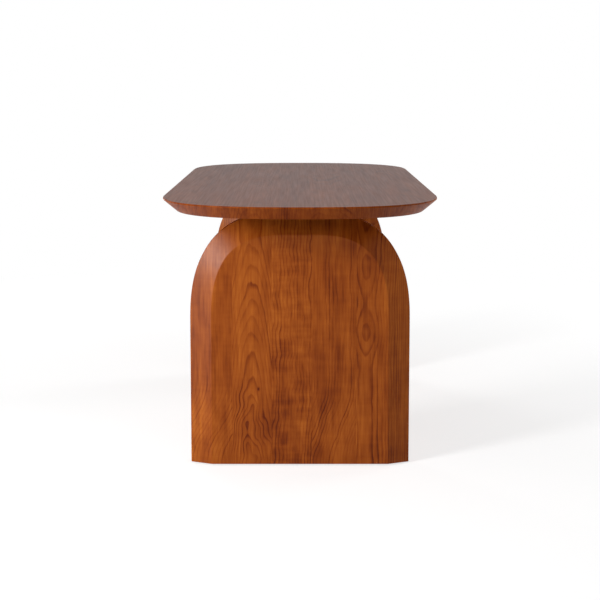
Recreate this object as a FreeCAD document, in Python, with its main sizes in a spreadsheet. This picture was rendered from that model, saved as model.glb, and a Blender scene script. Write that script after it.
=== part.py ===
import FreeCAD, Part
import math
import os

# A double pedestal dining table in solid cherry, in millimetres. The origin is on the floor under the
# middle of the top, X runs across the table, Y along it and Z up. The front pedestal is at -Y.

doc = FreeCAD.newDocument("DoublePedestalTable")
sheet = doc.addObject("Spreadsheet::Sheet", "sizes")

SIZES = {
    # The top: its outline, its thickness and the long bevel under its edge. The pedestals keep to its ends.
    "table_height": 764,
    "top_length": 1858,
    "top_width": 770,
    "top_thickness": 35,
    "rim_height": 4,
    "edge_bevel_inset": 37,
    "arris_radius": 1.5,
    "end_overhang": 342.5,
    "pedestal_distance": "=top_length - 2 * end_overhang",
    # Loose tenons in the glued seams between the boards of the top.
    "tenon_thickness": 8,
    "tenon_width": 22,
    "tenon_length": 40,
    "tenon_depth": 15,
    "tenon_clearance": 0.1,
    # Steel channels let into the underside to hold the top flat, with their screws and inserts.
    "channel_length": 560,
    "channel_width": 40,
    "channel_depth": 14,
    "channel_wall": 3,
    "channel_share": 0.307,
    "channel_distance": "=pedestal_distance * channel_share",
    "channel_clearance": 0.3,
    "channel_screw_share": 0.1786,
    "channel_screw_distance": "=channel_length * channel_screw_share",
    "channel_screw_diameter": 6,
    "channel_screw_length": 13,
    "channel_screw_head_diameter": 11,
    "channel_screw_head_height": 3.3,
    "channel_insert_diameter": 10,
    "channel_insert_length": 12,
    "slot_travel": 8,
    "slot_clearance": 0.5,
    "thread_clearance": 0.05,
    # Steel plates between the pedestals and the top.
    "plate_length": 240,
    "plate_width": 250,
    "plate_thickness": 10,
    "plate_corner_radius": 12,
    "bolt_distance_across": 180,
    "bolt_distance_along": 190,
    "bolt_diameter": 8,
    "bolt_length": 24,
    "bolt_head_diameter": 14,
    "bolt_head_height": 4.4,
    "bolt_insert_diameter": 12.5,
    "bolt_insert_length": 14,
    "washer_diameter": 18,
    "washer_thickness": 1.6,
    "plate_screw_diameter": 7,
    "plate_screw_length": 80,
    "plate_screw_head_diameter": 13,
    "plate_screw_head_height": 3.5,
    "plate_screw_clearance": 0.1,
    "key_share": 0.5,
    # The pedestals: their arched outline, their two face panels and the core between the panels.
    "pedestal_width": 621,
    "shoulder_reach": 273,
    "shoulder_rise": 310,
    "crown_trim": 1.5,
    "base_reveal": 4,
    "panel_thickness": 30,
    "panel_edge": 3,
    "face_bevel_width": 60.7,
    "core_thickness": 38,
    # The frame in the core of each pedestal, and its dowels.
    "frame_width": 70,
    "crown_rail_length": 150,
    "crown_rail_depth": 115,
    "base_rail_depth": 90,
    "middle_rail_depth": 70,
    "middle_rail_height": 275,
    "dowel_diameter": 10,
    "dowel_length": 50,
    "dowel_distance": 36,
    "dowel_clearance": 0.1,
    # Levelling glides under the stiles.
    "glide_inset": 28,
    "pad_diameter": 30,
    "pad_height": 6,
    "pad_floor": 2,
    "pad_arris": 1,
    "pocket_clearance": 2,
    "roof_clearance": 0.3,
    "collar_diameter": 14,
    "collar_height": 2.6,
    "collar_clearance": 0.3,
    "mouth_clearance": 0.5,
    "hex_flats": 13,
    "hex_height": 4,
    "hex_gap": 0.3,
    "stem_diameter": 10,
    "stem_height": 58,
    "stem_clearance": 0.08,
    "stem_end_room": 6,
    "glide_insert_diameter": 14,
    "glide_insert_length": 25,
    # How far a cutting solid runs past the face that it cuts.
    "cut_overrun": 2,
}

# The curve of the top's ends and of the pedestals' shoulders: an ellipse's equation with a higher power.
CURVE_POWER = 2.5
CURVE_STEPS = 14
ARRIS_STEPS = 3

# Seams between boards, as shares of half the width, and tenons, as shares of half the seam's length.
TOP_SEAM_SHARES = (-0.740, -0.475, -0.187, 0.078, 0.353, 0.626)
PANEL_SEAM_SHARES = (-0.615, -0.258, 0.113, 0.512)
TENON_SHARES = (-0.84, -0.60, -0.36, -0.12, 0.12, 0.36, 0.60, 0.84)
CHANNEL_NAMES = {"front_channel": -1, "middle_channel": 0, "rear_channel": 1}
CHANNEL_SCREW_STEPS = (-2.5, -1.5, -0.5, 0.5, 1.5, 2.5)
# Screws of a mounting plate, as shares of half the crown rail's length between its dowels.
PLATE_SCREW_SHARES = (-0.80, -0.28, 0.28, 0.80)
ENDS = {"front": -1, "rear": 1}
TURNS = {"front": 0, "rear": 180}
SIDES = {"left": -1, "right": 1}
PLUS_MINUS = (-1, 1)

for row, (alias, value) in enumerate(SIZES.items(), start=1):
    sheet.set(f"A{row}", alias)
    sheet.set(f"B{row}", str(value))
    sheet.setAlias(f"B{row}", alias)
doc.recompute()

nodes = []


def size(alias):
    return float(sheet.get(alias))


def vector(x, y, z):
    return FreeCAD.Vector(x, y, z)


X_AXIS, Y_AXIS, Z_AXIS = vector(1, 0, 0), vector(0, 1, 0), vector(0, 0, 1)

overrun = size("cut_overrun")
table_height = size("table_height")
underside = table_height - size("top_thickness")
half_top = size("top_width") / 2
half_length = size("top_length") / 2
seat = underside - size("plate_thickness")
foot = size("base_reveal")
half_pedestal = size("pedestal_width") / 2
half_core = size("core_thickness") / 2
apex = seat + size("crown_trim")
springing = apex - size("shoulder_rise")
crown_straight = half_pedestal - size("shoulder_reach")
half_distance = size("pedestal_distance") / 2


# Helpers for document objects

def bound(kind, name, **formulas):
    """Adds a primitive whose properties follow formulas on the sheet's sizes."""
    piece = doc.addObject(kind, name)
    for property_name, formula in formulas.items():
        piece.setExpression(property_name, formula)
    return piece


def place(piece, x="0", y="0", z="0"):
    """Binds a piece's place to formulas on the sheet's sizes."""
    for axis, formula in zip("xyz", (x, y, z)):
        piece.setExpression(f"Placement.Base.{axis}", formula)
    return piece


def combine(kind, name, base, tool):
    piece = doc.addObject(kind, name)
    piece.Base = base
    piece.Tool = tool
    return piece


def feature(name, shape):
    piece = doc.addObject("Part::Feature", name)
    piece.Shape = shape
    return piece


def keep(piece, label):
    """Names a finished sub-part and lists it for export."""
    piece.Label = label
    nodes.append(piece)
    return piece


def stand(piece, end):
    """Moves a piece from the middle of the table to its pedestal, the rear one turned to face the rear."""
    piece.Placement = FreeCAD.Placement(vector(0, 0, 0), FreeCAD.Rotation(Z_AXIS, TURNS[end]))
    return place(piece, y=f"{ENDS[end]} * sizes.pedestal_distance / 2")


def stand_feature(piece, end):
    piece.Placement = FreeCAD.Placement(
        vector(0, ENDS[end] * half_distance, 0), FreeCAD.Rotation(Z_AXIS, TURNS[end]))
    return piece


def copies(shape, places):
    """A group of separate solids: one shape repeated at each place."""
    return Part.makeCompound([shape.translated(spot) for spot in places])


def block(low, high):
    """A box between two opposite corners."""
    return Part.makeBox(high.x - low.x, high.y - low.y, high.z - low.z, low)


# Curves that the top and the pedestals share

def soft_quarter(reach, rise, inset):
    """Points of a quarter of the soft curve, from its side to its crown, moved in by an inset."""
    points = []
    for step in range(CURVE_STEPS + 1):
        angle = math.pi / 2 * step / CURVE_STEPS
        across, up = math.cos(angle), math.sin(angle)
        ray = (across ** CURVE_POWER + up ** CURVE_POWER) ** (-1 / CURVE_POWER)
        across, up = across * ray, up * ray
        normal_across = across ** (CURVE_POWER - 1) / reach
        normal_up = up ** (CURVE_POWER - 1) / rise
        length = math.hypot(normal_across, normal_up)
        points.append((reach * across - inset * normal_across / length,
                       rise * up - inset * normal_up / length))
    return points


def soft_edge(points, start_direction, end_direction):
    curve = Part.BSplineCurve()
    curve.interpolate(Points=points, InitialTangent=start_direction, FinalTangent=end_direction)
    return curve.toShape()


def line(start, end):
    return Part.LineSegment(start, end).toShape()


def top_wire(inset, height):
    """The top's outline, moved in by an inset: two straight sides and two soft ends."""
    side = half_top - inset
    straight = half_length - half_top
    quarter = soft_quarter(half_top, half_top, inset)
    rear_right = soft_edge([vector(x, straight + y, height) for x, y in quarter], Y_AXIS, -X_AXIS)
    rear_left = rear_right.mirror(vector(0, 0, 0), X_AXIS)
    return Part.Wire([
        line(vector(side, -straight, height), vector(side, straight, height)),
        rear_right,
        rear_left,
        line(vector(-side, straight, height), vector(-side, -straight, height)),
        rear_left.mirror(vector(0, 0, 0), Y_AXIS),
        rear_right.mirror(vector(0, 0, 0), Y_AXIS),
    ])


def arch_wire(inset, depth):
    """A pedestal's outline at a depth along Y, moved in by an inset at its sides and its crown."""
    side = half_pedestal - inset
    crown = apex - inset
    quarter = soft_quarter(size("shoulder_reach"), size("shoulder_rise"), inset)
    points = [vector(crown_straight + x, depth, springing + z) for x, z in quarter]
    right = soft_edge(points, Z_AXIS, -X_AXIS)
    return Part.Wire([
        line(vector(-side, depth, foot), vector(side, depth, foot)),
        line(vector(side, depth, foot), vector(side, depth, springing)),
        right,
        line(vector(crown_straight, depth, crown), vector(-crown_straight, depth, crown)),
        right.mirror(vector(0, 0, 0), X_AXIS),
        line(vector(-side, depth, springing), vector(-side, depth, foot)),
    ])


def arch_prism(inset):
    """A solid of a pedestal's outline, as deep as the core."""
    face = Part.Face(arch_wire(inset, -half_core))
    return face.extrude(Y_AXIS * size("core_thickness"))


# The boards of the top

def top_edge_profile():
    """Insets and heights of the top's edge: a soft arris, a narrow rim and the long bevel below it."""
    radius = size("arris_radius")
    profile = [(size("edge_bevel_inset"), underside), (0, table_height - size("rim_height"))]
    for step in range(ARRIS_STEPS + 1):
        angle = math.pi / 2 * step / ARRIS_STEPS
        profile.append((radius * (1 - math.cos(angle)), table_height - radius * (1 - math.sin(angle))))
    return profile


def channel_screw_places(height):
    return [vector(step * size("channel_screw_distance"), row * size("channel_distance"), height)
            for row in CHANNEL_NAMES.values() for step in CHANNEL_SCREW_STEPS]


def bolt_places(height):
    """The four bolts of each mounting plate."""
    return [vector(across * size("bolt_distance_across") / 2,
                   end * half_distance + along * size("bolt_distance_along") / 2, height)
            for end in ENDS.values() for across in PLUS_MINUS for along in PLUS_MINUS]


def seam_half_length(seam):
    """Half the flat length of a seam, from the middle of the table to the bevel."""
    share = (1 - (abs(seam) / half_top) ** CURVE_POWER) ** (1 / CURVE_POWER)
    return half_length - half_top + half_top * share - size("edge_bevel_inset")


def loose_tenon(room):
    """A tenon lying across a seam, its long edges rounded, with some room added all round."""
    length = size("tenon_length") + 2 * room
    thickness = size("tenon_thickness") + 2 * room
    flat = size("tenon_width") - size("tenon_thickness")
    corner = vector(length / 2, flat / 2, thickness / 2)
    middle = block(-corner, corner)
    ends = [Part.makeCylinder(thickness / 2, length, vector(-length / 2, along * flat / 2, 0), X_AXIS)
            for along in PLUS_MINUS]
    return middle.fuse(ends).removeSplitter()


def tenon_places(seams):
    height = table_height - size("tenon_depth")
    return [vector(seam, share * seam_half_length(seam), height)
            for seam in seams for share in TENON_SHARES]


def channel_recess(row):
    """The shallow bed of a channel's web and the two grooves of its flanges."""
    room = size("channel_clearance")
    middle = row * size("channel_distance")
    end = size("channel_length") / 2 + room
    half = size("channel_width") / 2 + room
    groove = size("channel_wall") + 2 * room
    bottom = underside - overrun
    bed_roof = underside + size("channel_wall")
    bed = block(vector(-end, middle - half, bottom), vector(end, middle + half, bed_roof))
    roof = underside + size("channel_depth") + room
    grooves = [block(vector(-end, low, bottom), vector(end, low + groove, roof))
               for low in (middle - half, middle + half - groove)]
    return [bed, *grooves]


seams = [share * half_top for share in TOP_SEAM_SHARES]
top_solid = Part.makeLoft([top_wire(inset, height) for inset, height in top_edge_profile()], True, True)

mortise = loose_tenon(size("tenon_clearance"))
insert_floor = underside + size("channel_wall")
channel_insert_hole = Part.makeCylinder(
    size("channel_insert_diameter") / 2 + size("thread_clearance"), size("channel_insert_length") + overrun)
bolt_insert_hole = Part.makeCylinder(
    size("bolt_insert_diameter") / 2 + size("thread_clearance"), size("bolt_insert_length") + overrun)
top_cuts = [tool for row in CHANNEL_NAMES.values() for tool in channel_recess(row)]
top_cuts += [channel_insert_hole.translated(spot) for spot in channel_screw_places(insert_floor - overrun)]
top_cuts += [bolt_insert_hole.translated(spot) for spot in bolt_places(underside - overrun)]
top_cuts += [mortise.translated(spot) for spot in tenon_places(seams)]

board_sides = [-half_top - overrun, *seams, half_top + overrun]
for number, (low, high) in enumerate(zip(board_sides, board_sides[1:]), start=1):
    strip = block(vector(low, -half_length - overrun, underside - overrun),
                  vector(high, half_length + overrun, table_height + overrun))
    near = [tool for tool in top_cuts if tool.BoundBox.intersect(strip.BoundBox)]
    keep(feature(f"TopBoard{number}", top_solid.common(strip).cut(near)), f"top_board_{number}")

keep(feature("LooseTenons", copies(loose_tenon(0), tenon_places(seams))), "top_loose_tenons")


# Screws, bolts and inserts

def key_socket(name, diameter, head_height, base):
    """The hexagon socket in a button head, sunk from its free face."""
    socket = bound("Part::Prism", f"{name}Key", Circumradius=f"sizes.{diameter} * sizes.key_share",
                   Height=f"sizes.{head_height} * sizes.key_share + sizes.cut_overrun")
    return combine("Part::Cut", name, base, place(socket, z=f"-sizes.{head_height} - sizes.cut_overrun"))


def button_screw(name, kind):
    """A screw pointing up from its head's seat at height 0, with a socket in its button head."""
    head = bound("Part::Cylinder", f"{name}Head", Radius=f"sizes.{kind}_head_diameter / 2",
                 Height=f"sizes.{kind}_head_height")
    place(head, z=f"-sizes.{kind}_head_height")
    shank = bound("Part::Cylinder", f"{name}Shank", Radius=f"sizes.{kind}_diameter / 2",
                  Height=f"sizes.{kind}_length")
    blank = combine("Part::Fuse", f"{name}Blank", head, shank)
    return key_socket(name, f"{kind}_diameter", f"{kind}_head_height", blank)


def sleeve(name, outer, inner, height, clearance):
    """A plain ring or threaded sleeve standing on height 0."""
    outside = bound("Part::Cylinder", f"{name}Outside", Radius=f"sizes.{outer} / 2",
                    Height=f"sizes.{height}")
    inside = bound("Part::Cylinder", f"{name}Inside", Radius=f"sizes.{inner} / 2 + sizes.{clearance}",
                   Height=f"sizes.{height} + 2 * sizes.cut_overrun")
    return combine("Part::Cut", name, outside, place(inside, z="-sizes.cut_overrun"))


channel_screw = button_screw("ChannelScrew", "channel_screw")
channel_insert = sleeve("ChannelInsert", "channel_insert_diameter", "channel_screw_diameter",
                        "channel_insert_length", "thread_clearance")
top_bolt = button_screw("TopBolt", "bolt")
bolt_insert = sleeve("BoltInsert", "bolt_insert_diameter", "bolt_diameter",
                     "bolt_insert_length", "thread_clearance")
washer = sleeve("Washer", "washer_diameter", "bolt_diameter", "washer_thickness", "slot_clearance")

plate_screw_head = bound("Part::Cone", "PlateScrewHead", Radius1="sizes.plate_screw_diameter / 2",
                         Radius2="sizes.plate_screw_head_diameter / 2",
                         Height="sizes.plate_screw_head_height")
place(plate_screw_head, z="-sizes.plate_screw_head_height")
plate_screw_shank = bound("Part::Cylinder", "PlateScrewShank", Radius="sizes.plate_screw_diameter / 2",
                          Height="sizes.plate_screw_length")
place(plate_screw_shank, z="-sizes.plate_screw_length")
plate_screw_blank = combine("Part::Fuse", "PlateScrewBlank", plate_screw_head, plate_screw_shank)
plate_screw_key = bound("Part::Prism", "PlateScrewKey",
                        Circumradius="sizes.plate_screw_diameter * sizes.key_share",
                        Height="sizes.plate_screw_head_height")
place(plate_screw_key, z="-sizes.plate_screw_head_height * sizes.key_share")
plate_screw = combine("Part::Cut", "PlateScrew", plate_screw_blank, plate_screw_key)
doc.recompute()

for name, shape, places in (
        ("channel_screws", channel_screw.Shape, channel_screw_places(underside)),
        ("channel_inserts", channel_insert.Shape, channel_screw_places(insert_floor)),
        ("top_bolt_inserts", bolt_insert.Shape, bolt_places(underside))):
    keep(feature(f"{name}_group", copies(shape, places)), name)


# The steel channels under the top

def slot(diameter, thickness):
    """A slot's cutting solid along X, so that the wood can swell and shrink across the table."""
    radius = diameter / 2 + size("slot_clearance")
    travel = size("slot_travel") / 2
    height = thickness + 2 * overrun
    middle = block(vector(-travel, -radius, -overrun), vector(travel, radius, height - overrun))
    ends = [Part.makeCylinder(radius, height, vector(side * travel, 0, -overrun)) for side in PLUS_MINUS]
    return middle.fuse(ends).removeSplitter()


for channel_name, row in CHANNEL_NAMES.items():
    bar = bound("Part::Box", f"{channel_name}_bar", Length="sizes.channel_length",
                Width="sizes.channel_width", Height="sizes.channel_depth")
    place(bar, x="-sizes.channel_length / 2", y="-sizes.channel_width / 2")
    trough = bound("Part::Box", f"{channel_name}_trough",
                   Length="sizes.channel_length + 2 * sizes.cut_overrun",
                   Width="sizes.channel_width - 2 * sizes.channel_wall",
                   Height="sizes.channel_depth + sizes.cut_overrun")
    place(trough, x="-sizes.channel_length / 2 - sizes.cut_overrun",
          y="-sizes.channel_width / 2 + sizes.channel_wall", z="sizes.channel_wall")
    folded = combine("Part::Cut", f"{channel_name}_folded", bar, trough)
    slot_places = [vector(step * size("channel_screw_distance"), 0, 0) for step in CHANNEL_SCREW_STEPS]
    slots = feature(f"{channel_name}_slots",
                    copies(slot(size("channel_screw_diameter"), size("channel_wall")), slot_places))
    channel = combine("Part::Cut", f"{channel_name}_slotted", folded, slots)
    place(channel, y=f"{row} * sizes.channel_distance", z="sizes.table_height - sizes.top_thickness")
    keep(channel, channel_name)


# The pedestals

def panel_profile():
    """Insets and depths of a face panel: a narrow edge at the core, then the bevel up to the flat face."""
    bevel, edge, thick = size("face_bevel_width"), size("panel_edge"), size("panel_thickness")
    soft = size("arris_radius")
    slope = bevel / (thick - edge)
    return [(0, 0), (0, edge - soft), (soft * slope, edge + soft),
            (bevel - soft * slope, thick - soft), (bevel + soft * slope, thick)]


def face_panel(direction):
    """One face of a pedestal: boards glued edge to edge, bevelled round the arch, cut flat at the seat."""
    sections = [arch_wire(inset, direction * (half_core + depth)) for inset, depth in panel_profile()]
    whole = Part.makeLoft(sections, True, True)
    joints = [share * half_pedestal for share in PANEL_SEAM_SHARES]
    edges = [-half_pedestal - overrun, *joints, half_pedestal + overrun]
    reach = half_core + size("panel_thickness") + overrun
    strips = [block(vector(low, -reach, foot - overrun), vector(high, reach, seat))
              for low, high in zip(edges, edges[1:])]
    return Part.makeCompound([whole.common(strip).Solids[0] for strip in strips])


def frame_dowels(side):
    """Middles and directions of the dowels in one side of the frame, two in each joint."""
    inner = half_pedestal - size("frame_width")
    stile_middle = half_pedestal - size("frame_width") / 2
    spread = size("dowel_distance") / 2
    crown_joint = seat - size("frame_width") / 2
    places = []
    for offset in PLUS_MINUS:
        step = offset * spread
        places.append((vector(side * (stile_middle + step), 0, springing), Z_AXIS))
        places.append((vector(side * inner, 0, foot + size("base_rail_depth") / 2 + step), X_AXIS))
        places.append((vector(side * inner, 0, size("middle_rail_height") + step), X_AXIS))
        places.append((vector(side * size("crown_rail_length") / 2, 0, crown_joint + step), X_AXIS))
    return places


def dowel(middle, direction, room):
    length = size("dowel_length") + 2 * room
    start = middle - direction * (length / 2)
    return Part.makeCylinder(size("dowel_diameter") / 2 + room, length, start, direction)


def all_dowels(room):
    return [dowel(middle, direction, room)
            for side in SIDES.values() for middle, direction in frame_dowels(side)]


def rail(name, length, depth, low, dowel_holes):
    """A straight rail across the core, centred, with its dowel holes."""
    bar = bound("Part::Box", f"{name}_bar", Length=length, Width="sizes.core_thickness", Height=depth)
    place(bar, x=f"-({length}) / 2", y="-sizes.core_thickness / 2", z=low)
    return combine("Part::Cut", f"{name}_cut", bar, dowel_holes)


GLIDE_PLACE = "sizes.pedestal_width / 2 - sizes.glide_inset"
GLIDE_ROOF = "sizes.pad_height + sizes.hex_gap + sizes.hex_height + sizes.roof_clearance"


def glide_bore(name, side):
    """The pocket for a glide's pad, the seat of its insert and the room above for its stem."""
    pocket = bound("Part::Cylinder", f"{name}_pocket",
                   Radius="sizes.pad_diameter / 2 + sizes.pocket_clearance",
                   Height=f"{GLIDE_ROOF} - sizes.base_reveal + sizes.cut_overrun")
    place(pocket, z="sizes.base_reveal - sizes.cut_overrun")
    seat_hole = bound("Part::Cylinder", f"{name}_seat",
                      Radius="sizes.glide_insert_diameter / 2 + sizes.thread_clearance",
                      Height="sizes.glide_insert_length + sizes.cut_overrun")
    place(seat_hole, z=f"{GLIDE_ROOF} - sizes.cut_overrun")
    room = bound("Part::Cylinder", f"{name}_room", Radius="sizes.stem_diameter / 2 + sizes.mouth_clearance",
                 Height=f"sizes.stem_height + sizes.stem_end_room - ({GLIDE_ROOF})")
    place(room, z=GLIDE_ROOF)
    bore = doc.addObject("Part::MultiFuse", f"{name}_bore")
    bore.Shapes = [pocket, seat_hole, room]
    return place(bore, x=f"{side} * ({GLIDE_PLACE})")


glide_roof = size("pad_height") + size("hex_gap") + size("hex_height") + size("roof_clearance")
glide_place = half_pedestal - size("glide_inset")
glide_insert = sleeve("GlideInsert", "glide_insert_diameter", "stem_diameter",
                      "glide_insert_length", "stem_clearance")

arch = arch_prism(0)
ring = arch.cut(arch_prism(size("frame_width")))
crown_half = size("crown_rail_length") / 2
core_reach = half_core + overrun
crown_space = block(vector(-crown_half, -core_reach, seat - size("crown_rail_depth")),
                    vector(crown_half, core_reach, seat))
dowel_cuts = all_dowels(size("dowel_clearance"))
outer_face, inner_face = face_panel(-1), face_panel(1)
plate_slot = slot(size("bolt_diameter"), size("plate_thickness"))
dowel_free = (size("crown_rail_length") - size("dowel_length")) / 2
plate_screw_places = [vector(share * dowel_free, 0, underside) for share in PLATE_SCREW_SHARES]
doc.recompute()
plate_screw_hole = Part.makeCylinder(
    size("plate_screw_diameter") / 2 + size("plate_screw_clearance"),
    size("plate_screw_length") + size("plate_screw_clearance"),
    vector(0, 0, -size("plate_screw_length") - size("plate_screw_clearance")))
plate_screw_sink = Part.makeCone(
    size("plate_screw_diameter") / 2 + size("plate_screw_clearance"),
    size("plate_screw_head_diameter") / 2 + size("plate_screw_clearance"),
    size("plate_screw_head_height"), vector(0, 0, -size("plate_screw_head_height")))
screw_cut = plate_screw_hole.fuse(plate_screw_sink)

for end in ENDS:
    # Two face panels of glued boards, which carry the bevel that runs round the arch.
    keep(stand_feature(feature(f"{end}_outer", outer_face), end), f"{end}_outer_panel")
    keep(stand_feature(feature(f"{end}_inner", inner_face), end), f"{end}_inner_panel")

    # The core's frame: stiles, sawn shoulders and a crown rail, with two straight rails between the stiles.
    holes = feature(f"{end}_dowel_holes", Part.makeCompound(dowel_cuts))
    for side_name, table_side in SIDES.items():
        # The rear pedestal is turned round, so its left and right change places.
        side = -ENDS[end] * table_side
        stile = bound("Part::Box", f"{end}_{side_name}_stile_bar", Length="sizes.frame_width",
                      Width="sizes.core_thickness",
                      Height="sizes.table_height - sizes.top_thickness - sizes.plate_thickness"
                             " + sizes.crown_trim - sizes.shoulder_rise - sizes.base_reveal")
        outer_side = "sizes.pedestal_width / 2"
        left_edge = f"-{outer_side}" if side < 0 else f"{outer_side} - sizes.frame_width"
        place(stile, x=left_edge, y="-sizes.core_thickness / 2", z="sizes.base_reveal")
        drilled = combine("Part::Cut", f"{end}_{side_name}_stile_drilled", stile, holes)
        bored = combine("Part::Cut", f"{end}_{side_name}_stile_bored", drilled,
                        glide_bore(f"{end}_{side_name}_glide", side))
        keep(stand(bored, end), f"{end}_{side_name}_stile")

        low_x, high_x = sorted((side * crown_half, side * (half_pedestal + overrun)))
        shoulder_space = block(vector(low_x, -core_reach, springing), vector(high_x, core_reach, seat))
        shoulder = ring.common(shoulder_space).cut(dowel_cuts)
        keep(stand_feature(feature(f"{end}_{side_name}_arm", shoulder), end), f"{end}_{side_name}_shoulder")

    screw_cuts = [screw_cut.translated(spot) for spot in plate_screw_places]
    crown = arch.common(crown_space).cut(dowel_cuts + screw_cuts)
    keep(stand_feature(feature(f"{end}_crown", crown), end), f"{end}_crown_rail")
    between = "sizes.pedestal_width - 2 * sizes.frame_width"
    base_rail = rail(f"{end}_base", between, "sizes.base_rail_depth", "sizes.base_reveal", holes)
    keep(stand(base_rail, end), f"{end}_base_rail")
    middle_rail = rail(f"{end}_middle", between, "sizes.middle_rail_depth",
                       "sizes.middle_rail_height - sizes.middle_rail_depth / 2", holes)
    keep(stand(middle_rail, end), f"{end}_middle_rail")
    pins = feature(f"{end}_dowels", Part.makeCompound(all_dowels(0)))
    keep(stand_feature(pins, end), f"{end}_frame_dowels")

    # The steel plate on the crown: screwed down into the crown rail and bolted up into the top.
    blank = bound("Part::Box", f"{end}_plate_blank", Length="sizes.plate_length", Width="sizes.plate_width",
                  Height="sizes.plate_thickness")
    place(blank, x="-sizes.plate_length / 2", y="-sizes.plate_width / 2",
          z="sizes.table_height - sizes.top_thickness - sizes.plate_thickness")
    doc.recompute()
    upright = [number for number, edge in enumerate(blank.Shape.Edges, start=1)
               if edge.BoundBox.ZLength > size("plate_thickness") / 2]
    rounded = doc.addObject("Part::Fillet", f"{end}_plate_rounded")
    rounded.Base = blank
    corner_radius = size("plate_corner_radius")
    rounded.Edges = [(number, corner_radius, corner_radius) for number in upright]
    plate_holes = [plate_slot.translated(vector(across * size("bolt_distance_across") / 2,
                                                along * size("bolt_distance_along") / 2, seat))
                   for across in PLUS_MINUS for along in PLUS_MINUS]
    plate_cuts = feature(f"{end}_plate_holes", Part.makeCompound(plate_holes + screw_cuts))
    plate = combine("Part::Cut", f"{end}_plate_drilled", rounded, plate_cuts)
    keep(stand(plate, end), f"{end}_mounting_plate")
    keep(stand_feature(feature(f"{end}_plate_fixings", copies(plate_screw.Shape, plate_screw_places)), end),
         f"{end}_plate_screws")
    below = seat - size("washer_thickness")
    here = [spot for spot in bolt_places(below) if spot.y * ENDS[end] > 0]
    keep(feature(f"{end}_bolts", copies(top_bolt.Shape, here)), f"{end}_top_bolts")
    keep(feature(f"{end}_rings", copies(washer.Shape, here)), f"{end}_bolt_washers")

    # Threaded inserts for the glides, in the feet of the stiles.
    insert_places = [vector(side * glide_place, 0, glide_roof) for side in SIDES.values()]
    keep(stand_feature(feature(f"{end}_sleeves", copies(glide_insert.Shape, insert_places)), end),
         f"{end}_glide_inserts")


# The levelling glides

def glide_pad(name):
    """A round foot with a socket that traps the stem's collar."""
    disc = bound("Part::Cylinder", f"{name}_disc", Radius="sizes.pad_diameter / 2",
                 Height="sizes.pad_height - sizes.pad_arris")
    place(disc, z="sizes.pad_arris")
    sole = bound("Part::Cone", f"{name}_sole", Radius1="sizes.pad_diameter / 2 - sizes.pad_arris",
                 Radius2="sizes.pad_diameter / 2", Height="sizes.pad_arris")
    body = combine("Part::Fuse", f"{name}_body", disc, sole)
    socket = bound("Part::Cylinder", f"{name}_socket",
                   Radius="sizes.collar_diameter / 2 + sizes.collar_clearance",
                   Height="sizes.collar_height + 2 * sizes.collar_clearance")
    place(socket, z="sizes.pad_floor")
    mouth = bound("Part::Cylinder", f"{name}_mouth",
                  Radius="sizes.stem_diameter / 2 + sizes.mouth_clearance",
                  Height="sizes.pad_height - sizes.pad_floor + sizes.cut_overrun")
    place(mouth, z="sizes.pad_floor")
    hollow = combine("Part::Fuse", f"{name}_hollow", socket, mouth)
    return combine("Part::Cut", f"{name}_pad", body, hollow)


def glide_stem(name):
    """A threaded stem with a trapped collar at its foot and a hexagon for a spanner above the pad."""
    collar = bound("Part::Cylinder", f"{name}_collar", Radius="sizes.collar_diameter / 2",
                   Height="sizes.collar_height")
    place(collar, z="sizes.pad_floor + sizes.collar_clearance")
    shank = bound("Part::Cylinder", f"{name}_shank", Radius="sizes.stem_diameter / 2",
                  Height="sizes.stem_height - sizes.pad_floor - sizes.collar_clearance")
    place(shank, z="sizes.pad_floor + sizes.collar_clearance")
    hexagon = bound("Part::Prism", f"{name}_hexagon", Circumradius="sizes.hex_flats / sqrt(3)",
                    Height="sizes.hex_height")
    place(hexagon, z="sizes.pad_height + sizes.hex_gap")
    stem = doc.addObject("Part::MultiFuse", f"{name}_stem")
    stem.Shapes = [collar, shank, hexagon]
    return stem


for end, along in ENDS.items():
    for side_name, side in SIDES.items():
        corner_name = f"{end}_{side_name}_glide"
        for maker, kind in ((glide_pad, "pad"), (glide_stem, "stem")):
            piece = maker(f"{corner_name}_{kind}")
            place(piece, x=f"{side} * ({GLIDE_PLACE})", y=f"{along} * sizes.pedestal_distance / 2")
            keep(piece, f"{corner_name}_{kind}")


# Checks, then one file for each sub-part

doc.recompute()
failed = [piece.Label for piece in doc.Objects if {"Invalid", "Error"} & set(piece.State)]
failed += [piece.Label for piece in nodes if piece.Shape.isNull() or not piece.Shape.isValid()]
if failed:
    raise RuntimeError("these objects failed: " + ", ".join(failed))

os.makedirs("parts", exist_ok=True)
for piece in nodes:
    piece.Shape.exportStep(f"parts/{piece.Label}.step")
    print(f"{piece.Label}: {len(piece.Shape.Solids)} solids, {piece.Shape.Volume:.0f} cubic mm")
print(f"{len(nodes)} sub-parts")
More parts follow.
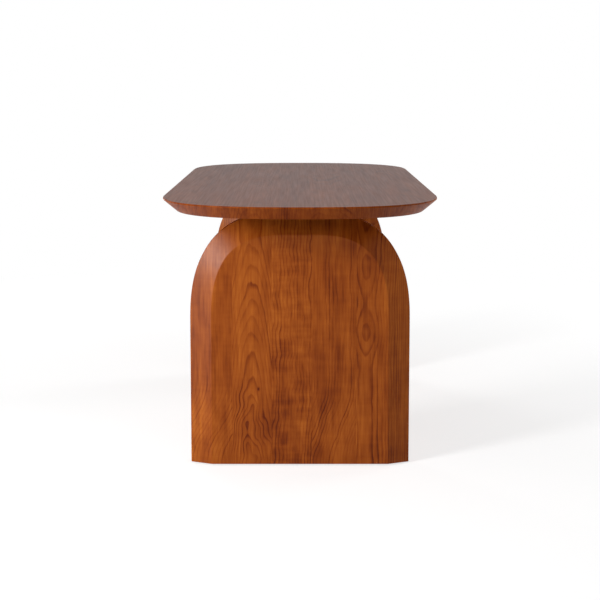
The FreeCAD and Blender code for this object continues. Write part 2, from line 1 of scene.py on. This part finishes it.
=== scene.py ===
import math
from collections import namedtuple
import bmesh
import bpy
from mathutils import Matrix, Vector


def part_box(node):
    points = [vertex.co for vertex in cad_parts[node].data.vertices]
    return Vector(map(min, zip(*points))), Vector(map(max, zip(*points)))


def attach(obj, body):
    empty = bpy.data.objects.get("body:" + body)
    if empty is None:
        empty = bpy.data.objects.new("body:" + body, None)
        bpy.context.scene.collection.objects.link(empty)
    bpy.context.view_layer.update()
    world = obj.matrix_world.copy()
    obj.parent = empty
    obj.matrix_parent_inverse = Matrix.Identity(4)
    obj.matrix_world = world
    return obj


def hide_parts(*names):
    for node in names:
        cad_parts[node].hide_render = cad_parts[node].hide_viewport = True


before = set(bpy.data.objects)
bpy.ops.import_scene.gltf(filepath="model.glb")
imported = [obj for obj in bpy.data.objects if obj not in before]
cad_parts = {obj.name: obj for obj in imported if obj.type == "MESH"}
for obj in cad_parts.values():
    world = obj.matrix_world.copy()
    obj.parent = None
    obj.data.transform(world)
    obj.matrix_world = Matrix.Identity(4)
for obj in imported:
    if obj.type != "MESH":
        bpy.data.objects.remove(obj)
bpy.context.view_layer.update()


# The top: seven cherry boards glued edge to edge and cut to a long outline with soft ends. A wide bevel
# planed under the edge leaves a thin rim, so that the top looks light. It is stained red-brown, with a satin
# lacquer above and a thinner coat below, where three shallow beds take the steel channels.
TOP_LOW, TOP_HIGH = Vector((-0.385, -0.929, 0.729)), Vector((0.385, 0.929, 0.764))
TOP_RIM = 0.004
TOP_BEVEL_INSET = 0.037
TOP_ARRIS = 0.0015
TOP_SEAMS = (-0.2849, -0.1829, -0.0720, 0.0300, 0.1359, 0.2410)
TOP_STRETCH = 3.0               # how much longer the figure of the long boards is
SOFT_EDGE = 0.0007
SOFT_CORNER_POWER = 2.5
SOFT_CORNER_STEPS = 44
CREASE = math.radians(32)       # edges that turn by more stay crisp
BED_ROOM = 0.0003               # air round a channel in its bed
BED_DEPTH = 0.003
BED_DRAFT = 0.0001              # lean of a bed's walls
CLOSE = 1e-5                    # places that differ by less are the same
ON_PLANE = 1e-7                 # points nearer to a cut lie on it


def soft_corner(reach, rise):
    """Points of a quarter of a soft corner, from its straight side round to its crown."""
    points = []
    for step in range(SOFT_CORNER_STEPS + 1):
        angle = math.pi / 2 * step / SOFT_CORNER_STEPS
        across, up = math.cos(angle), math.sin(angle)
        ray = (across ** SOFT_CORNER_POWER + up ** SOFT_CORNER_POWER) ** (-1 / SOFT_CORNER_POWER)
        points.append((reach * across * ray, rise * up * ray))
    return points


def outline_face(bm, points, mirrors):
    """A flat face from one chain of points and its mirror images."""
    chain = [bm.verts.new(point) for point in points]
    for start, end in zip(chain, chain[1:]):
        bm.edges.new((start, end))
    for axis in mirrors:
        bmesh.ops.mirror(bm, geom=bm.verts[:] + bm.edges[:], axis=axis, merge_dist=CLOSE)
        bmesh.ops.remove_doubles(bm, verts=bm.verts, dist=CLOSE)
    return bmesh.ops.contextual_create(bm, geom=bm.edges[:])["faces"][0]


def pull(bm, face, step):
    """Draws a face out along a step and returns the face at the far end."""
    drawn = bmesh.ops.extrude_face_region(bm, geom=[face])["geom"]
    bmesh.ops.translate(bm, vec=step, verts=[part for part in drawn if isinstance(part, bmesh.types.BMVert)])
    return next(part for part in drawn if isinstance(part, bmesh.types.BMFace))


def taper(bm, face, width, depth):
    """Draws a face out to a smaller one, with a bevel all round."""
    bmesh.ops.recalc_face_normals(bm, faces=bm.faces)
    bmesh.ops.inset_region(bm, faces=[face], thickness=width, depth=depth, use_even_offset=True,
                           use_boundary=True)


def edges_at(bm, axis, place):
    return [edge for edge in bm.edges if all(abs(vert.co[axis] - place) < CLOSE for vert in edge.verts)]


def soften(bm, edges, width, segments):
    bmesh.ops.bevel(bm, geom=edges, offset=width, offset_type="OFFSET", affect="EDGES", segments=segments,
                    profile=0.5, material=-1, clamp_overlap=True)


def cut(bm, point, direction, faces=None, drop_outer=False):
    """Cuts faces along a plane. With drop_outer, what lies ahead of the plane goes and the cut is closed."""
    parts = dict.fromkeys(part for face in faces or bm.faces for part in (face, *face.edges, *face.verts))
    made = bmesh.ops.bisect_plane(bm, geom=list(parts), dist=ON_PLANE, plane_co=point, plane_no=direction,
                                  clear_outer=drop_outer)
    if drop_outer:
        rim = [part for part in made["geom_cut"] if isinstance(part, bmesh.types.BMEdge)]
        bmesh.ops.contextual_create(bm, geom=rim)


def finished(name, bm, finishes, slot, *replaced):
    """Makes a mesh a piece of the table that stands for some of its nodes."""
    bmesh.ops.recalc_face_normals(bm, faces=bm.faces)
    mesh = bpy.data.meshes.new(name)
    bm.to_mesh(mesh)
    bm.free()
    mesh.shade_smooth()
    mesh.set_sharp_from_angle(angle=CREASE)
    for finish in finishes:
        mesh.materials.append(finish)
    piece = bpy.data.objects.new(name, mesh)
    bpy.context.scene.collection.objects.link(piece)
    weighted = piece.modifiers.new("flat faces stay flat", "WEIGHTED_NORMAL")
    weighted.keep_sharp = True
    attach(piece, "table")
    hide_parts(*replaced)


class Wire:
    """One output in a finish's node tree. Sums on it add Math nodes, and node() adds any other kind."""

    def __init__(self, tree, socket):
        self.tree = tree
        self.socket = socket

    def node(self, kind, settings, sockets, output=0):
        made = self.tree.nodes.new(kind)
        for key, value in settings.items():
            if key == "stops":
                elements = made.color_ramp.elements
                elements.remove(elements[-1])
                for number, (place, colour) in enumerate(value):
                    element = elements.new(place) if number else elements[0]
                    element.position = place
                    element.color = (*colour, 1)
            else:
                setattr(made, key, value)
        for key, value in sockets.items():
            if isinstance(value, Wire):
                self.tree.links.new(value.socket, made.inputs[key])
            else:
                made.inputs[key].default_value = value
        return Wire(self.tree, made.outputs[output])

    def other(self, output):
        """Another output of the same node."""
        return Wire(self.tree, self.socket.node.outputs[output])

    def math(self, operation, *values):
        return self.node("ShaderNodeMath", {"operation": operation}, dict(enumerate(values)))

    def ramp(self, low, high):
        """0 below low, 1 above high and a soft step between; falls instead where low is above high."""
        ends = {"To Min": 0.0, "To Max": 1.0} if low < high else {"To Min": 1.0, "To Max": 0.0}
        return self.node("ShaderNodeMapRange", {"interpolation_type": "SMOOTHSTEP"},
                         {"Value": self, "From Min": min(low, high), "From Max": max(low, high), **ends})

    def __add__(self, other):
        return self.math("ADD", self, other)

    def __sub__(self, other):
        return self.math("SUBTRACT", self, other)

    def __rsub__(self, other):
        return self.math("SUBTRACT", other, self)

    def __mul__(self, other):
        return self.math("MULTIPLY", self, other)

    def __truediv__(self, other):
        return self.math("DIVIDE", self, other)

    __radd__ = __add__
    __rmul__ = __mul__


def new_finish(name):
    """A material, its Principled shader and the piece's own coordinates."""
    material = bpy.data.materials.new(name)
    material.use_nodes = True
    tree = material.node_tree
    place = Wire(tree, tree.nodes.new("ShaderNodeTexCoord").outputs["Object"])
    return material, tree.nodes["Principled BSDF"], place


def feed(shader, **wires):
    for name, wire in wires.items():
        wire.tree.links.new(wire.socket, shader.inputs[name.replace("_", " ")])


def noise(place, scale, detail):
    """Noise about zero, with a scale for each axis."""
    stretched = place.node("ShaderNodeVectorMath", {"operation": "MULTIPLY"}, {0: place, 1: scale})
    return place.node("ShaderNodeTexNoise", {}, {"Vector": stretched, "Scale": 1.0, "Detail": detail}) - 0.5


def bumps(height, strength, depth):
    return height.node("ShaderNodeBump", {}, {"Strength": strength, "Distance": depth, "Height": height})


def screen_colour(*levels):
    """A colour given as a screen shows it, each level from 0 to 255."""
    shares = [level / 255 for level in levels]
    return tuple(share / 12.92 if share <= 0.04045 else ((share + 0.055) / 1.055) ** 2.4 for share in shares)


CHERRY_STOPS = (
    (0.00, screen_colour(184, 101, 33)),
    (0.30, screen_colour(161, 81, 23)),
    (0.55, screen_colour(139, 64, 14)),
    (0.80, screen_colour(113, 45, 6)),
    (1.00, screen_colour(88, 30, 3)),
)
BUTT_FIGURE = 0.17      # how far folded grain runs up from a board's butt end
FOLD_FADE = 0.06        # the height over which the folds then end
CALM_FADE = 0.14        # the height over which the lines then grow faint
BUTT_SWAY = 0.24        # how far up lines that sway at the butt end come upright
WORN_AND_HIGHLIT_EDGE = 0.0035      # how far from an edge the finish is worn and the painted highlight reaches
BOARD_STEP = 3.7        # how far apart in the noise neighbouring boards lie
RING_STEP = 31          # the same for the hardness of their rings
DEPTH_SHARE = 0.2       # how much of a bevel's depth the rings follow
# How a board was sawn from its log: its heart's distance from the left seam and depth, lean along the board,
# ring width, wave and fold, the lines' contrast, the board's tone, the lines' sway at the butt end, mottling,
# how alike the lines are and how faint they grow above the butt end.
Sawn = namedtuple("Sawn", "heart depth lean ring wave fold contrast tone sway mottle evenness calm",
                  defaults=(0.0, 0.0, 0.3, 0.0))


def cherry(name, across, along, depth, boards, seed, roughness, gloss, stretch=1.0, figure=1.0, extra_dark=0.0,
           butt=False, swirls=(), spots=()):
    """Stained cherry: growth rings round each board's own heart, fibres, gum flecks and a satin finish.

    across, along and depth are (axis, scale, offset), and a board is (left seam, how it was sawn). Swirls
    lift the rings, and spots darken or lighten patches, some as the wood's tone and some as painted light
    that lifts shade; each is (across, along, half width, half height, amount)."""
    material, shader, place = new_finish(name)
    split = place.node("ShaderNodeSeparateXYZ", {}, {0: place})
    u, v, w = (split.other(axis) * scale + offset for axis, scale, offset in (across, along, depth))
    masks = [u.math("GREATER_THAN", u, seam) for seam, sawn in boards[1:]]

    def by_board(values):
        """Each board's own number."""
        total = values[0]
        for mask, low, high in zip(masks, values, values[1:]):
            if high != low:
                total = u.math("MULTIPLY_ADD", mask, high - low, total)
        return total

    def bell(spot_u, spot_v, half_width, half_height):
        """1 at a spot on the face, falling softly to 0 round it."""
        du, dv = (u - spot_u) / half_width, (v - spot_v) / half_height
        return u.math("EXPONENT", 0 - (du * du + dv * dv))

    placed = [sawn._replace(heart=seam + sawn.heart) for seam, sawn in boards]
    own = Sawn(*(by_board(values) for values in zip(*placed)))
    number = by_board(range(len(boards)))
    grain = u.node("ShaderNodeCombineXYZ", {}, {0: u, 1: w, 2: v / stretch + number * BOARD_STEP + seed})

    # Rings: the distance from a heart that leans and waves along the board.
    fold = noise(grain, (16, 16, 10), 1) * own.fold
    height = own.depth + v * own.lean - w + noise(grain, (6, 6, 1.7), 2) * own.wave
    height = height + (fold * v.ramp(BUTT_FIGURE + FOLD_FADE, BUTT_FIGURE) if butt else fold)
    for *spot, lift in swirls:
        height = height + bell(*spot) * lift
    sideways = u - own.heart + noise(grain, (11, 11, 2.6), 2) * 0.012
    sideways = sideways + noise(grain, (14, 14, 15), 1) * own.wave * 0.6
    if butt:
        sideways = sideways - v.ramp(0.0, BUTT_SWAY) * own.sway
    ring = u.math("SQRT", sideways * sideways + height * height) / own.ring
    ring = ring + noise(grain, (40, 40, 8), 2) * 0.8 + noise(grain, (75, 75, 24), 1) * 0.25
    share = u.math("FRACT", ring)
    ring_number = u.math("FLOOR", ring) + number * RING_STEP + seed
    late = share.ramp(0.50, 0.90) * share.ramp(1.0, 0.90) + share * share * 0.25
    hardness = u.node("ShaderNodeTexWhiteNoise", {"noise_dimensions": "1D"}, {"W": ring_number})
    fade = noise(grain, (20, 20, 4.5), 1).ramp(-0.22, 0.18)
    force = hardness * hardness * (1 - own.evenness) + own.evenness
    lines = late * force * (fade * 0.7 + 0.3) * own.contrast
    if butt:
        lines = lines * (1 - v.ramp(BUTT_FIGURE, BUTT_FIGURE + CALM_FADE) * own.calm)

    # Body: broad clouds, curl across the grain, streaks and fibres along it, and short dark gum flecks.
    cloud = noise(grain, (9, 9, 2.4), 3)
    glow = noise(grain, (34, 34, 9), 2)
    curl = noise(grain, (9, 9, 62), 2) * (own.mottle * 0.5 + 0.17)
    band = noise(grain, (70, 70, 5), 2)
    streak = noise(grain, (190, 190, 11), 2)
    fibre = noise(grain, (900, 900, 22), 2)
    patch = noise(grain, (52, 52, 24), 2) * own.mottle
    fleck = noise(grain, (340, 340, 26), 1).ramp(0.20, 0.30)
    body = cloud * 0.6 + glow * 0.72 + curl + band * 0.4 + streak * 0.55 + fibre * 0.2
    dark = own.tone + extra_dark + (body + lines * 0.34 + patch * 0.95 + fleck * 0.08) * figure

    # The cut ends drink more stain. Edges are a little duller from handling, and paler: partly wear and
    # partly a painted highlight along the arrises.
    facing = u.node("ShaderNodeNewGeometry", {}, {}, "Normal")
    endways = u.node("ShaderNodeSeparateXYZ", {}, {0: facing}).other(along[0])
    rounded = u.node("ShaderNodeBevel", {"samples": 4}, {"Radius": WORN_AND_HIGHLIT_EDGE})
    turned = u.node("ShaderNodeVectorMath", {"operation": "DOT_PRODUCT"}, {0: rounded, 1: facing}, "Value")
    wear_and_highlight = (1 - turned).ramp(0.01, 0.16) * (cloud + 0.75)
    dark = dark + endways * endways * 0.06 - wear_and_highlight * 0.12
    # Spots darken or lighten patches: some are the wood's tone, and some are painted light that lifts shade.
    for *spot, tone in spots:
        dark = dark + bell(*spot) * tone
    colour = u.node("ShaderNodeValToRGB", {"stops": CHERRY_STOPS}, {0: dark})
    relief = 1 - (fibre * 0.5 + lines * 0.5 + fleck * 0.6)
    dullness = roughness + streak * 0.14 + fleck * 0.10 + wear_and_highlight * 0.20
    feed(shader, Base_Color=colour, Roughness=dullness, Normal=bumps(relief, 0.08, 0.0006))
    shader.inputs["Specular IOR Level"].default_value = gloss
    return material


TOP_SAWN = (
    # heart, depth, lean, ring width, wave, fold, contrast, tone
    Sawn(0.055, 0.130, 0.020, 0.0040, 0.030, 0.002, 0.9, 0.53),
    Sawn(-0.215, 0.060, 0.010, 0.0052, 0.020, 0.001, 0.8, 0.56, mottle=0.1),
    Sawn(0.055, 0.110, 0.032, 0.0042, 0.036, 0.003, 1.0, 0.51),
    Sawn(0.372, 0.040, 0.008, 0.0058, 0.018, 0.001, 0.8, 0.55, mottle=0.1),
    Sawn(0.049, 0.150, -0.026, 0.0046, 0.040, 0.002, 1.0, 0.53),
    Sawn(0.484, 0.080, 0.012, 0.0055, 0.022, 0.001, 0.8, 0.57, mottle=0.1),
    Sawn(0.059, 0.120, 0.024, 0.0043, 0.034, 0.003, 0.9, 0.52),
)
top_boards = list(zip((TOP_LOW.x, *TOP_SEAMS), TOP_SAWN))
top_lay = ((0, 1, 0), (1, 1, 0), (2, -DEPTH_SHARE, DEPTH_SHARE * TOP_HIGH.z), top_boards, 0.0)
# The upper face is drawn darker than the rim, bevel and underside of the same boards.
top_finish = cherry("cherry top", *top_lay, roughness=0.36, gloss=0.16, stretch=TOP_STRETCH,
                    figure=0.6, extra_dark=0.08)
edge_finish = cherry("cherry top edge", *top_lay, roughness=0.45, gloss=0.09, stretch=TOP_STRETCH)

bm = bmesh.new()
straight = TOP_HIGH.y - TOP_HIGH.x
quarter = [(x, straight + y, TOP_HIGH.z) for x, y in soft_corner(TOP_HIGH.x, TOP_HIGH.x)]
upper = outline_face(bm, [(TOP_HIGH.x, 0, TOP_HIGH.z), *quarter], "XY")
rim = pull(bm, upper, Vector((0, 0, -TOP_RIM)))
rim_low = TOP_HIGH.z - TOP_RIM
taper(bm, rim, TOP_BEVEL_INSET, rim_low - TOP_LOW.z)
arris = edges_at(bm, 2, TOP_HIGH.z)
lower_edges = edges_at(bm, 2, rim_low) + edges_at(bm, 2, TOP_LOW.z)
soften(bm, arris, TOP_ARRIS, 4)
soften(bm, lower_edges, SOFT_EDGE, 2)
for seam in TOP_SEAMS:
    cut(bm, (seam, 0, 0), (1, 0, 0))


def underside(bm):
    return [face for face in bm.faces if face.calc_center_median().z < TOP_LOW.z + CLOSE]


for channel in ("front_channel", "middle_channel", "rear_channel"):
    low, high = (Vector(corner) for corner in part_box(channel))
    low.xy -= Vector((BED_ROOM, BED_ROOM))
    high.xy += Vector((BED_ROOM, BED_ROOM))
    for point, direction in ((low, (1, 0, 0)), (high, (1, 0, 0)), (low, (0, 1, 0)), (high, (0, 1, 0))):
        cut(bm, point, direction, underside(bm))
    bed = [face for face in underside(bm)
           if all(low[axis] < face.calc_center_median()[axis] < high[axis] for axis in (0, 1))]
    bmesh.ops.inset_region(bm, faces=bed, thickness=BED_DRAFT, depth=-BED_DEPTH, use_even_offset=True)
for face in bm.faces:
    face.material_index = 0 if all(vert.co.z > TOP_HIGH.z - CLOSE for vert in face.verts) else 1
board_names = [f"top_board_{number}" for number in range(1, 8)]
finished("top", bm, [top_finish, edge_finish], "cherry_top", *board_names)


# Under the top, out of sight from where people sit: three folded steel channels that keep it flat, black
# powder coated, held by zinc plated button screws in brass inserts. Beech tenons lock the glued seams.
def give(finish, *names):
    """Paints nodes whose shape is right as it is."""
    for name in names:
        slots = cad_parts[name].data.materials
        slots.clear()
        slots.append(finish)


def tint(factor, light, dark):
    """A colour between two."""
    colours = {"A": (*light, 1), "B": (*dark, 1)}
    return factor.node("ShaderNodeMix", {"data_type": "RGBA"}, {"Factor": factor, **colours}, 2)


def metal(name, colour, worn, roughness, scale, metallic=1.0):
    """A metal or its coat, with fine grit and a faint cloud of wear."""
    material, shader, place = new_finish(name)
    cloud = noise(place, [scale] * 3, 4)
    grit = noise(place, [scale * 14] * 3, 2)
    feed(shader, Base_Color=tint(cloud.ramp(-0.08, 0.22), colour, worn),
         Roughness=roughness + cloud * 0.18 + grit * 0.10, Normal=bumps(grit, 0.12, 0.0003))
    shader.inputs["Metallic"].default_value = metallic
    return material


def plain_wood(name, light, dark):
    """Bare joinery wood with straight fibres across the table."""
    material, shader, place = new_finish(name)
    fibre = noise(place, (9, 420, 420), 3)
    cloud = noise(place, (2, 26, 26), 2)
    feed(shader, Base_Color=tint((fibre * 0.6 + cloud * 0.6).ramp(-0.3, 0.3), light, dark),
         Roughness=0.62 + fibre * 0.2, Normal=bumps(fibre, 0.15, 0.0004))
    return material


black_steel = metal("black coated steel", screen_colour(34, 34, 36), screen_colour(58, 57, 56), 0.48, 60.0,
                    metallic=0.0)
zinc_steel = metal("zinc plated steel", screen_colour(176, 178, 182), screen_colour(148, 147, 142), 0.34,
                   110.0)
brass = metal("brass", screen_colour(196, 160, 92), screen_colour(150, 118, 66), 0.32, 110.0)
beech = plain_wood("beech", screen_colour(214, 176, 130), screen_colour(182, 138, 94))
give(black_steel, "front_channel", "middle_channel", "rear_channel")
give(zinc_steel, "channel_screws")
give(brass, "channel_inserts", "top_bolt_inserts")
give(beech, "top_loose_tenons")


# The pedestals' faces: four panels of five stained cherry boards, glued edge to edge. A wide bevel runs up
# both sides and round the arch, from a thin edge at the core to the flat face. Foot and seat are cut flat.
PEDESTAL_HALF_WIDTH = 0.3105
SHOULDER_REACH, SHOULDER_RISE = 0.273, 0.310
CROWN_TRIM = 0.0015
PANEL_EDGE = 0.003
FACE_BEVEL = 0.0607
FACE_ARRIS = 0.0018
PANEL_SEAMS = (-0.1910, -0.0801, 0.0351, 0.1590)
# heart, depth, lean, ring width, wave, fold, contrast, tone, sway, mottle, evenness, calm
FANNED = Sawn(-0.590, 0.120, 0.020, 0.0110, 0.020, 0.002, 1.40, 0.43, 0.095, 0.1, 0.25, 0.85)
ARCHED = Sawn(0.054, 0.085, 0.062, 0.0037, 0.012, 0.026, 1.90, 0.31, 0.0, 0.0, 0.4, 0.30)
WAVY = Sawn(0.630, 0.060, 0.030, 0.0095, 0.040, 0.040, 1.60, 0.36, 0.015, 0.6, 0.4)
STRAIGHT = Sawn(-0.685, 0.080, 0.010, 0.0085, 0.024, 0.006, 1.60, 0.45, 0.060, 0.1, 0.1, 0.35)
OVAL = Sawn(0.0265, 0.120, 0.0, 0.0036, 0.005, 0.003, 1.50, 0.40, 0.0, 0.1, 0.4)
# Each face: which way its boards' butt ends point and where they are, their place in the noise, the boards
# from left to right, swirls in the rings, and dark or pale spots: some are the wood's tone, and some are
# painted light that lifts shade on a bevel.
Face = namedtuple("Face", "up foot seed boards swirls spots", defaults=((), ()))
FACES = {
    ("front", "outer"): Face(
        1, 0.0, 0.0, (FANNED, ARCHED, WAVY, STRAIGHT, OVAL),
        swirls=((0.1855, 0.567, 0.060, 0.075, -0.0060), (0.1870, 0.385, 0.060, 0.055, -0.0060)),
        # The pale patch low on the left bevel and the pale strip up the right bevel are painted light,
        # lifting the shade there; the other spots darken or lighten patches of the boards.
        spots=((-0.117, 0.221, 0.0030, 0.0050, 0.80), (-0.060, 0.060, 0.110, 0.150, 0.16),
               (-0.290, 0.060, 0.080, 0.160, -0.26), (0.300, 0.250, 0.040, 0.300, -0.12),
               (0.110, 0.080, 0.060, 0.100, -0.14), (0.060, 0.330, 0.090, 0.110, 0.08))),
    ("front", "inner"): Face(-1, 0.70, 23.0, (WAVY, STRAIGHT, ARCHED, FANNED, STRAIGHT)),
    ("rear", "outer"): Face(1, 0.06, 41.0, (STRAIGHT, FANNED, WAVY, ARCHED, STRAIGHT)),
    ("rear", "inner"): Face(
        -1, 0.76, 67.0, (ARCHED, STRAIGHT, OVAL, FANNED, WAVY),
        swirls=((-0.050, 0.300, 0.050, 0.070, -0.0060),),
        # This pale patch is painted light on the part of the face seen past the front pedestal's left
        # shoulder.
        spots=((0.270, 0.185, 0.070, 0.100, -0.24),)),
}


def face_panel(name, direction, seams, finish):
    """One face of a pedestal, its back on the core and its front facing along direction."""
    low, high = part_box(name)
    thickness = high.y - low.y
    back = high.y if direction < 0 else low.y
    apex = high.z + CROWN_TRIM
    springing = apex - SHOULDER_RISE
    below = low.z - 2 * FACE_BEVEL
    flat = PEDESTAL_HALF_WIDTH - SHOULDER_REACH
    bm = bmesh.new()
    shoulder = [(flat + x, back, springing + z) for x, z in soft_corner(SHOULDER_REACH, SHOULDER_RISE)]
    chain = [(0, back, below), (PEDESTAL_HALF_WIDTH, back, below), *shoulder, (0, back, apex)]
    edge = pull(bm, outline_face(bm, chain, "X"), Vector((0, direction * PANEL_EDGE, 0)))
    taper(bm, edge, FACE_BEVEL, thickness - PANEL_EDGE)
    soften(bm, edges_at(bm, 1, back + direction * thickness), FACE_ARRIS, 3)
    soften(bm, edges_at(bm, 1, back + direction * PANEL_EDGE), SOFT_EDGE, 3)
    cut(bm, (0, 0, low.z), (0, 0, -1), drop_outer=True)
    cut(bm, (0, 0, high.z), (0, 0, 1), drop_outer=True)
    for seam in seams:
        cut(bm, (seam, 0, 0), (1, 0, 0))
    finished(f"{name}_face", bm, [finish], "cherry_pedestal", name)


for end, turn in (("front", 1), ("rear", -1)):
    for side, direction in (("outer", -turn), ("inner", turn)):
        name = f"{end}_{side}_panel"
        low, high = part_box(name)
        plane = low.y if direction < 0 else high.y
        outwards = DEPTH_SHARE * direction
        face = FACES[end, side]
        boards = list(zip((-PEDESTAL_HALF_WIDTH, *PANEL_SEAMS), face.boards))
        finish = cherry(f"cherry {end} {side} face", (0, turn, 0), (2, face.up, face.foot),
                        (1, -outwards, outwards * plane), boards, face.seed, roughness=0.31, gloss=0.135,
                        butt=True, swirls=face.swirls, spots=face.spots)
        face_panel(name, direction, [turn * seam for seam in PANEL_SEAMS], finish)


# Between the faces: a frame of cherry stiles and sawn shoulders whose edges show, dowelled to poplar rails
# that stay hidden. The edges are planed flush with the faces and have a duller coat.
EDGE_SAWN = Sawn(1.500, 0.100, 0.015, 0.0048, 0.016, 0.001, 0.9, 0.42)
cherry_edge = cherry("cherry edge", (1, 1, 0), (2, 1, 0), (0, 1, 0), [(-1.0, EDGE_SAWN)], 7.0,
                     roughness=0.6, gloss=0.0)
poplar = plain_wood("poplar", screen_colour(206, 196, 160), screen_colour(170, 160, 122))
for end in ("front", "rear"):
    for side in ("left", "right"):
        give(cherry_edge, f"{end}_{side}_stile", f"{end}_{side}_shoulder")
    give(poplar, f"{end}_crown_rail", f"{end}_base_rail", f"{end}_middle_rail")
    give(beech, f"{end}_frame_dowels")


# Where a pedestal meets the top: a black coated steel plate, screwed down into the crown rail and bolted up
# into the top through slots, with zinc plated bolts and washers.
for end in ("front", "rear"):
    give(black_steel, f"{end}_mounting_plate")
    give(zinc_steel, f"{end}_plate_screws", f"{end}_top_bolts", f"{end}_bolt_washers")


# Under the stiles: four levelling glides, each a black nylon pad moulded round the collar of a zinc plated
# stem, which screws into a brass insert in the end grain.
def nylon(name, colour, scuffed):
    """Moulded nylon with a fine grain, scuffed in places."""
    material, shader, place = new_finish(name)
    grit = noise(place, [900.0] * 3, 3)
    cloud = noise(place, [70.0] * 3, 3)
    feed(shader, Base_Color=tint(cloud.ramp(-0.15, 0.25), colour, scuffed), Roughness=0.55 + grit * 0.2,
         Normal=bumps(grit, 0.2, 0.0002))
    return material


black_nylon = nylon("black nylon", screen_colour(36, 36, 37), screen_colour(58, 57, 55))
for end in ("front", "rear"):
    give(brass, f"{end}_glide_inserts")
    for side in ("left", "right"):
        give(black_nylon, f"{end}_{side}_glide_pad")
        give(zinc_steel, f"{end}_{side}_glide_stem")


# The studio: a pale floor that runs out into a white background, and an even room light. A key lamp and a
# narrow card on the left give the bevels their sheen. A weak fill on the right and two low lamps behind light
# the table without showing in its gloss.
WHITE = (1, 1, 1, 1)
FLOOR_HALF = 40.0
FLOOR_GREY = (0.55, 0.55, 0.55, 1)
FLOOR_ROUGHNESS = 0.9
FLOOR_HAZE = 0.66               # glow that lifts the floor to the background's white
FLOOR_FADE = (1.4, 3.4)         # distances between which the floor turns into the background
SKY_FADE = (0.062, 0.30)        # heights between which the background darkens
SKY_LOSS = 0.62
ROOM_LIGHT = 0.25


def seen_share(tree):
    """1 for what is seen, directly or in a mirror, and 0 for light on its way to the table."""
    path = Wire(tree, tree.nodes.new("ShaderNodeLightPath").outputs["Is Camera Ray"])
    mirrored = path.math("MAXIMUM", path.other("Is Glossy Ray"), path.other("Is Transmission Ray"))
    return path.math("MAXIMUM", path, mirrored)


bm = bmesh.new()
bmesh.ops.create_grid(bm, x_segments=1, y_segments=1, size=FLOOR_HALF)
floor_mesh = bpy.data.meshes.new("floor")
bm.to_mesh(floor_mesh)
bm.free()
floor = bpy.data.objects.new("floor", floor_mesh)
bpy.context.scene.collection.objects.link(floor)
pale, pale_shader, place = new_finish("pale floor")
pale_shader.inputs["Base Color"].default_value = FLOOR_GREY
pale_shader.inputs["Roughness"].default_value = FLOOR_ROUGHNESS
pale_shader.inputs["Specular IOR Level"].default_value = 0.0
matte = Wire(pale.node_tree, pale_shader.outputs[0])
seen = seen_share(pale.node_tree)
distance = place.node("ShaderNodeVectorMath", {"operation": "LENGTH"}, {0: place}, "Value")
haze = place.node("ShaderNodeEmission", {}, {"Color": WHITE, "Strength": seen * FLOOR_HAZE})
lit = place.node("ShaderNodeAddShader", {}, {0: matte, 1: haze})
far = place.node("ShaderNodeEmission", {}, {"Color": WHITE, "Strength": 1.0})
blend = place.node("ShaderNodeMixShader", {}, {0: seen * distance.ramp(*FLOOR_FADE), 1: lit, 2: far})
pale.node_tree.links.new(blend.socket, pale.node_tree.nodes["Material Output"].inputs["Surface"])
floor_mesh.materials.append(pale)

world = bpy.data.worlds.new("studio")
world.use_nodes = True
bpy.context.scene.world = world
background = world.node_tree.nodes["Background"]
background.inputs["Color"].default_value = WHITE
way = Wire(world.node_tree, world.node_tree.nodes.new("ShaderNodeTexCoord").outputs["Generated"])
up = way.node("ShaderNodeSeparateXYZ", {}, {0: way}, "Z")
shown = 1 - up.ramp(*SKY_FADE) * SKY_LOSS
feed(background, Strength=seen_share(world.node_tree) * (shown - ROOM_LIGHT) + ROOM_LIGHT)


def soft_lamp(name, place, aim, width, height, power, mirrored=True):
    """A soft panel of light out of the camera's sight, which the gloss shows only if it is mirrored."""
    lamp = bpy.data.lights.new(name, "AREA")
    lamp.shape = "RECTANGLE"
    lamp.size, lamp.size_y = width, height
    lamp.energy = power
    stand = bpy.data.objects.new(name, lamp)
    stand.location = place
    stand.rotation_euler = (Vector(aim) - Vector(place)).to_track_quat("-Z", "Y").to_euler()
    stand.visible_camera = False
    stand.visible_glossy = mirrored
    bpy.context.scene.collection.objects.link(stand)


soft_lamp("key", (-3.58, -3.57, 1.96), (0.0, -0.6, 0.5), 1.0, 1.5, 130.0)
soft_lamp("left card", (-1.25, -1.55, 0.80), (-0.30, -0.62, 0.74), 0.40, 1.60, 9.0)
soft_lamp("fill", (3.2, -3.6, 2.2), (0.0, -0.6, 0.5), 2.2, 2.2, 30.0, mirrored=False)
soft_lamp("rear right", (4.2, 2.6, 0.75), (0.0, 0.2, 0.5), 1.6, 1.1, 120.0, mirrored=False)
soft_lamp("rear left", (-2.6, 4.4, 0.75), (0.0, 0.4, 0.5), 1.6, 1.1, 130.0, mirrored=False)


# The camera stands square to the table's end, a little above the eyes of someone seated. It looks down by a
# few degrees, and a small shift of the lens sets the table in the frame.
CAMERA_PLACE = (0.0, -4.4517, 1.0950)
CAMERA_TILT = math.radians(6.7247)
CAMERA_SENSOR = 36.0
CAMERA_LENS = 82.692
CAMERA_SHIFT = -0.10
camera_data = bpy.data.cameras.new("camera")
camera_data.sensor_width = CAMERA_SENSOR
camera_data.lens = CAMERA_LENS
camera_data.shift_y = CAMERA_SHIFT
camera = bpy.data.objects.new("camera", camera_data)
camera.location = CAMERA_PLACE
camera.rotation_euler = (math.pi / 2 - CAMERA_TILT, 0, 0)
bpy.context.scene.collection.objects.link(camera)
bpy.context.scene.camera = camera
bpy.context.scene.view_settings.view_transform = "Standard"
